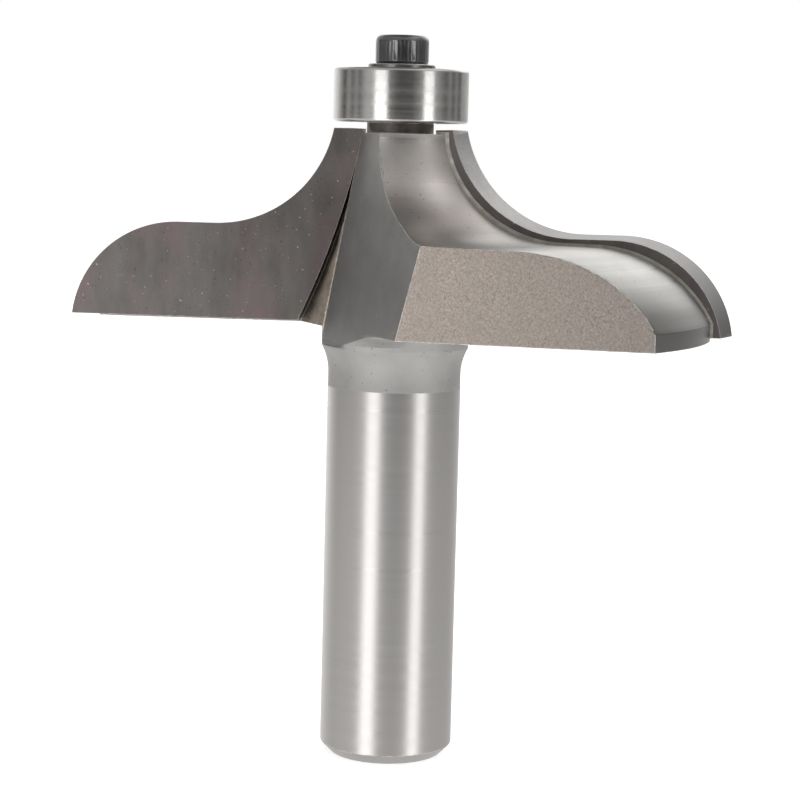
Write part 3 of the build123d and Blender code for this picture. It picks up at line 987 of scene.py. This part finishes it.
# %% Milled wall and pocket
material, tree = finish_tree("milled_wall")
patch = patches(tree, 2.5)
pit = use_group(tree, grain, Size=0.25)
base = tint(tree, patch, (0.41, 0.405, 0.395), (0.48, 0.475, 0.465))
spot = flecks(tree, 0.3, 0.07)
base = tint(tree, spot, base, (0.72, 0.70, 0.66))
# Painted highlight with wear: a light ragged line along the corner with the pocket.
metal(material, tint(tree, arris_wear_and_highlight(tree, 0.14), base, (0.85, 0.80, 0.72)),
      (pit["Tone"], 0.46, 0.56), (pit["Height"], 0.3, 0.02))

material, tree = finish_tree("pocket_wall")
patch = patches(tree, 0.8)
rust = flecks(tree, 0.3, 0.22)
pit = use_group(tree, grain, Size=0.3)
base = tint(tree, patch, (0.22, 0.19, 0.155), (0.36, 0.325, 0.28))
base = tint(tree, rust, base, (0.30, 0.17, 0.10))
# Painted highlight with wear: a light ragged line along the corner with the gullet wall.
metal(material, tint(tree, arris_wear_and_highlight(tree, 0.16), base, (0.80, 0.74, 0.66)),
      (pit["Tone"], 0.5, 0.7), (pit["Height"], 0.4, 0.03), metallic=0.1)

# %% Blasted flats, shoulder and worn edges
material, tree = finish_tree("blasted_flat")
patch = patches(tree, 2.5, 1.5)
pit = use_group(tree, grain, Size=0.16, Stretch=1.3)
base = tint(tree, pit["Tone"], (0.31, 0.265, 0.235), (0.84, 0.75, 0.68))
# Painted shade: a darker copy of the grain, mixed in towards the outer end of the flat, from 3 mm to 27
# mm off the middle.
painted_shade_tone = tint(tree, pit["Tone"], (0.22, 0.19, 0.172), (0.58, 0.52, 0.48))
base = tint(tree, along(tree, 0, 3.0, 27.0), base, painted_shade_tone)
metal(material, tint(tree, number(tree, "MULTIPLY", patch, 0.4), base, (0.47, 0.42, 0.38)),
      (pit["Tone"], 0.55, 0.68), (pit["Height"], 0.5, 0.03))

# Painted shade: the shoulder under the bearing is given a dark colour for the shade that falls there.
material, tree = finish_tree("shoulder_painted_shade")
cut = use_group(tree, lines, Spacing=0.14, Wander=0.3)
patch = patches(tree, 1.5)
base = tint(tree, patch, (0.17, 0.152, 0.146), (0.345, 0.316, 0.30))
metal(material, base, (cut["Tone"], 0.35, 0.5), (cut["Height"], 0.2, 0.01))

# Wear with a painted highlight: the bevelled edges get a light colour that stands in for the light they
# catch.
material, tree = finish_tree("edge_wear_and_highlight")
patch = patches(tree, 0.5)
base = tint(tree, patch, (0.42, 0.41, 0.39), (0.92, 0.91, 0.88))
metal(material, base, (patch, 0.5, 0.4))

# %% [markdown]
# ### Carbide and solder
# Ground carbide is a dark warm grey with faint purple and brown clouds and tiny pits. The solder
# bead is duller and yellower than the steel and a little lumpy.

# %% Carbide
material, tree = finish_tree("ground_carbide")
patch = patches(tree, 2.0, 3.0)
cloud = patches(tree, 5.0, 2.2)
spot = flecks(tree, 0.2, 0.075)
glint = flecks(tree, 0.28, 0.07)
pit = use_group(tree, grain, Size=0.1)
base = tint(tree, patch, (0.165, 0.153, 0.145), (0.24, 0.225, 0.216))
base = tint(tree, remap(tree, cloud, 0.45, 1), base, (0.27, 0.20, 0.212))
dark = number(tree, "SUBTRACT", 0.8, number(tree, "MULTIPLY", along(tree, 2, 53.0, 57.0), 0.7))
base = tint(tree, number(tree, "MULTIPLY", along(tree, 0, 13.0, 4.0), dark), base, (0.125, 0.11, 0.108))
base = tint(tree, glint, base, (0.50, 0.48, 0.46))
metal(material, tint(tree, spot, base, (0.08, 0.065, 0.06)),
      (patch, 0.36, 0.46), (pit["Height"], 0.15, 0.01))

material, tree = finish_tree("ground_margin")
patch = patches(tree, 1.5)
cut = use_group(tree, grain, Size=0.2)
base = tint(tree, cut["Tone"], (0.46, 0.455, 0.45), (0.66, 0.655, 0.645))
base = tint(tree, number(tree, "MULTIPLY", patch, 0.5), base, (0.42, 0.41, 0.405))
metal(material, tint(tree, along(tree, 0, 22.0, 31.5), base, (0.27, 0.265, 0.26)),
      (cut["Tone"], 0.34, 0.44), (cut["Height"], 0.15, 0.01))

# %% Solder
material, tree = finish_tree("silver_solder_bead")
patch = patches(tree, 0.9)
base = tint(tree, patch, (0.55, 0.50, 0.43), (0.72, 0.70, 0.66))
metal(material, base, (patch, 0.28, 0.42), (patch, 0.4, 0.04))
cover(material, *seams)
print("plates:", [material.name for material in plate.data.materials])

# %% [markdown]
# ### Bearing, washer and screw
# The running face of the bearing is ground and polished, so it shows the studio as crisp stripes. The
# shields are pressed and a little softer, the screw is black oxide with a trace of oil.

# %% Bearing
material, tree = finish_tree("polished_race")
cut = use_group(tree, lines, Spacing=0.06, Wander=0.2)
patch = patches(tree, 1.2)
base = tint(tree, patch, (0.62, 0.605, 0.59), (0.72, 0.71, 0.695))
metal(material, base, (cut["Tone"], 0.13, 0.23), (cut["Height"], 0.1, 0.005))
cover(material, outer, inner)
race = material

material, tree = finish_tree("pressed_sheet")
cut = use_group(tree, lines, Spacing=0.2, Wander=0.5)
patch = patches(tree, 1.5)
base = tint(tree, patch, (0.42, 0.42, 0.41), (0.60, 0.60, 0.585))
metal(material, base, (cut["Tone"], 0.28, 0.42), (cut["Height"], 0.15, 0.01))
cover(material, upper_shield, lower_shield, upper_wire, lower_wire)
sheet = material

for name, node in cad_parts.items():
    if name.startswith(("bearing_ball", "cage")):
        node.data.materials.clear()
        cover(race if name.startswith("bearing_ball") else sheet, node)
print("the balls show", race.name, "and the cage shows", sheet.name)

# %% Washer and screw
material, tree = finish_tree("darkened_washer")
patch = patches(tree, 0.8)
base = tint(tree, patch, (0.18, 0.175, 0.17), (0.40, 0.39, 0.38))
metal(material, base, (patch, 0.22, 0.34), (patch, 0.15, 0.02))
cover(material, washer)
# The washer's top rim gets the light edge colour: polish with a painted reflection of the bright
# surround.
cover(bpy.data.materials["edge_wear_and_highlight"], washer)
for face in washer.data.polygons:
    if face.center.z > (WASHER_EDGE + 0.01) * MM and face.normal.z < 0.95:
        face.material_index = 1

material, tree = finish_tree("black_oxide_oiled")
patch = patches(tree, 0.7)
pit = use_group(tree, grain, Size=0.12)
base = tint(tree, patch, (0.012, 0.012, 0.014), (0.035, 0.034, 0.036))
metal(material, base, (pit["Tone"], 0.3, 0.42), (pit["Height"], 0.2, 0.01), metallic=0.0)
for label, value in (("Coat Weight", 1.0), ("Coat IOR", 2.15), ("Coat Roughness", 0.1)):
    shader_of(material).inputs[label].default_value = value
cover(material, screw)
print("materials in all:", len(bpy.data.materials))

# %% [markdown]
# ## The studio
# A pale floor runs into a white surround. Two tall softboxes draw the long highlights down the shank,
# and a broad soft light comes from above. Metal shows what stands round it, so what it reflects is a
# ring of light and dark cards, while the camera itself sees plain white.

# %% The floor
FLOOR_GLOW = 0.62


def seen_or_reflected(tree, seen, reflected):
    """Mix two shaders: one for what the camera sees, the other for what the metal reflects."""
    path = add(tree, "ShaderNodeLightPath")
    mix = add(tree, "ShaderNodeMixShader")
    for socket, value in zip(mix.inputs, (path.outputs["Is Camera Ray"], reflected, seen)):
        feed(tree, socket, value)
    return mix.outputs[0]


def glow(tree, level):
    """A white Emission shader."""
    node = add(tree, "ShaderNodeEmission")
    feed(tree, node.inputs["Color"], (1, 1, 1))
    feed(tree, node.inputs["Strength"], level)
    return node.outputs[0]


nothing_selected()
bpy.ops.mesh.primitive_plane_add(size=6.0, location=(0, 0, 0))
floor = bpy.context.object
floor.name = "floor"
material, tree = finish_tree("white_floor")
feed(tree, shader_of(material).inputs["Base Color"], (0.9, 0.9, 0.9))
feed(tree, shader_of(material).inputs["Roughness"], 0.7)
lit = add(tree, "ShaderNodeAddShader")
feed(tree, lit.inputs[0], shader_of(material).outputs[0])
feed(tree, lit.inputs[1], glow(tree, FLOOR_GLOW))
clear = add(tree, "ShaderNodeBsdfTransparent").outputs[0]
feed(tree, tree.nodes["Material Output"].inputs["Surface"],
     seen_or_reflected(tree, lit.outputs[0], clear))
cover(material, floor)
print("floor:", triangles(floor), "triangles")

# %% The cards that the metal reflects
world = bpy.data.worlds.new("studio")
bpy.context.scene.world = world
world.use_nodes = True
tree = world.node_tree
x, y, z = axes_of(tree, add(tree, "ShaderNodeTexCoord").outputs["Generated"])
around = number(tree, "ARCTAN2", x, number(tree, "MULTIPLY", y, -1.0))
turned = remap(tree, around, -math.pi, math.pi)


def card_ring(levels):
    """A ring of cards. Levels are pairs of azimuth, in degrees from -Y towards +X, and brightness."""
    ramp = add(tree, "ShaderNodeValToRGB")
    tree.links.new(turned, ramp.inputs[0])
    stops = ramp.color_ramp.elements
    for index, (azimuth, level) in enumerate(levels):
        place = (azimuth + 180) / 360
        stop = stops[0] if index == 0 else stops[-1] if index == len(levels) - 1 else stops.new(place)
        stop.position = place
        stop.color = (level, level * 0.995, level * 0.98, 1)
    return ramp.outputs[0]


BELOW = ((-180, 1.25), (-160, 1.25), (-142, 1.1), (-128, 0.85), (-105, 0.58), (-82, 0.72), (-50, 0.72),
         (-10, 0.5), (20, 0.46), (60, 0.58), (105, 0.55), (135, 0.52), (155, 0.64), (180, 1.05))
LEVEL = ((-180, 1.1), (-150, 1.0), (-132, 0.75), (-118, 0.32), (-106, 0.05), (-96, 0.38), (-85, 0.1),
         (-77, 0.34), (-70, 0.1), (-58, 0.45), (-40, 0.5), (-14, 0.16), (0, 0.04), (24, 0.04),
         (44, 0.32), (66, 0.34), (78, 0.2), (88, 0.08), (97, 0.28), (105, 0.06), (113, 0.3),
         (123, 0.06), (132, 0.36), (142, 0.42), (162, 0.58), (180, 0.92))
RAISED = ((-180, 1.0), (-140, 0.6), (-100, 0.4), (-30, 0.46), (0, 0.4), (30, 0.48), (60, 0.68),
          (82, 0.42), (112, 0.36), (130, 0.7), (148, 1.4), (180, 1.3))
HIGH = ((-180, 0.12), (-120, 0.25), (-30, 0.58), (10, 0.5), (45, 0.7), (76, 1.2), (98, 1.05),
        (120, 0.68), (152, 0.7), (170, 0.15), (180, 0.12))
FLOOR_TONE = (0.66, 0.655, 0.645)
ZENITH_TONE = (0.15, 0.15, 0.147)
surround = tint(tree, remap(tree, z, -0.02, -0.13), card_ring(LEVEL), card_ring(BELOW))
surround = tint(tree, remap(tree, z, -0.14, -0.42), surround, FLOOR_TONE)
surround = tint(tree, remap(tree, z, 0.08, 0.3), surround, card_ring(RAISED))
surround = tint(tree, remap(tree, z, 0.54, 0.72), surround, card_ring(HIGH))
surround = tint(tree, remap(tree, z, 0.84, 0.97), surround, ZENITH_TONE)
background = tree.nodes["Background"]
feed(tree, background.inputs["Color"], surround)
feed(tree, tree.nodes["World Output"].inputs["Surface"],
     seen_or_reflected(tree, glow(tree, 1.0), background.outputs[0]))
print("cards round the bit:", sum(len(cards) for cards in (BELOW, LEVEL, RAISED, HIGH)))

# %% The lights
STRIP_DISTANCE = 0.6
STRIP_HEIGHT = -0.145
STRIP_LENGTH = 0.53
AIM_HEIGHT = 0.045


def softbox(name, azimuth, distance, height, size, power):
    """An area light that faces the bit. The azimuth is in degrees from -Y towards +X."""
    nothing_selected()
    turn = math.radians(azimuth)
    place = (distance * math.sin(turn), -distance * math.cos(turn), height)
    bpy.ops.object.light_add(type="AREA", location=place)
    light = bpy.context.object
    light.name = name
    light.data.shape = "RECTANGLE"
    light.data.size, light.data.size_y = size
    light.data.energy = power
    aim = Vector((0, 0, AIM_HEIGHT)) - light.location
    light.rotation_euler = aim.to_track_quat("-Z", "Y").to_euler()
    return light


softbox("left_strip", -29, STRIP_DISTANCE, STRIP_HEIGHT, (0.25, STRIP_LENGTH), 0.70)
softbox("right_strip", 53, STRIP_DISTANCE, STRIP_HEIGHT, (0.2, STRIP_LENGTH), 0.53)
softbox("top_box", 0, 0.15, 0.8, (0.6, 0.6), 4.0).visible_glossy = False
print("lights:", [light.name for light in bpy.data.lights])

# %% [markdown]
# ## The camera
# The camera stands a little above the bit's middle and looks slightly down, with a long lens, so the
# uprights stay nearly parallel. Its place and tilt are written as angles, and turned into a matrix.

# %% Set the camera
LENS = 98.505
DISTANCE = 0.20795
CAMERA_HEIGHT = 0.05915
AZIMUTH = math.radians(5.147)
PITCH = math.radians(6.830)
ROLL = math.radians(1.443)
SWING = math.radians(-0.1671)

bpy.ops.object.camera_add()
camera = bpy.context.object
camera.data.lens = LENS
camera.data.sensor_width = 36
camera.data.clip_start = 0.01
level = Matrix.Rotation(SWING, 3, "Z") @ Vector((-math.sin(AZIMUTH), math.cos(AZIMUTH), 0))
forward = level * math.cos(PITCH) - Vector((0, 0, math.sin(PITCH)))
right = Vector((level.y, -level.x, 0))
up = right.cross(forward)
tilted_right = right * math.cos(ROLL) + up * math.sin(ROLL)
tilted_up = up * math.cos(ROLL) - right * math.sin(ROLL)
axes = Matrix((tilted_right, tilted_up, -forward)).transposed()
stand = Vector((DISTANCE * math.sin(AZIMUTH), -DISTANCE * math.cos(AZIMUTH), CAMERA_HEIGHT))
camera.matrix_world = Matrix.Translation(stand) @ axes.to_4x4()
bpy.context.scene.camera = camera
bpy.context.scene.view_settings.view_transform = "Standard"
print("camera stands at", [round(v, 4) for v in stand], "m")
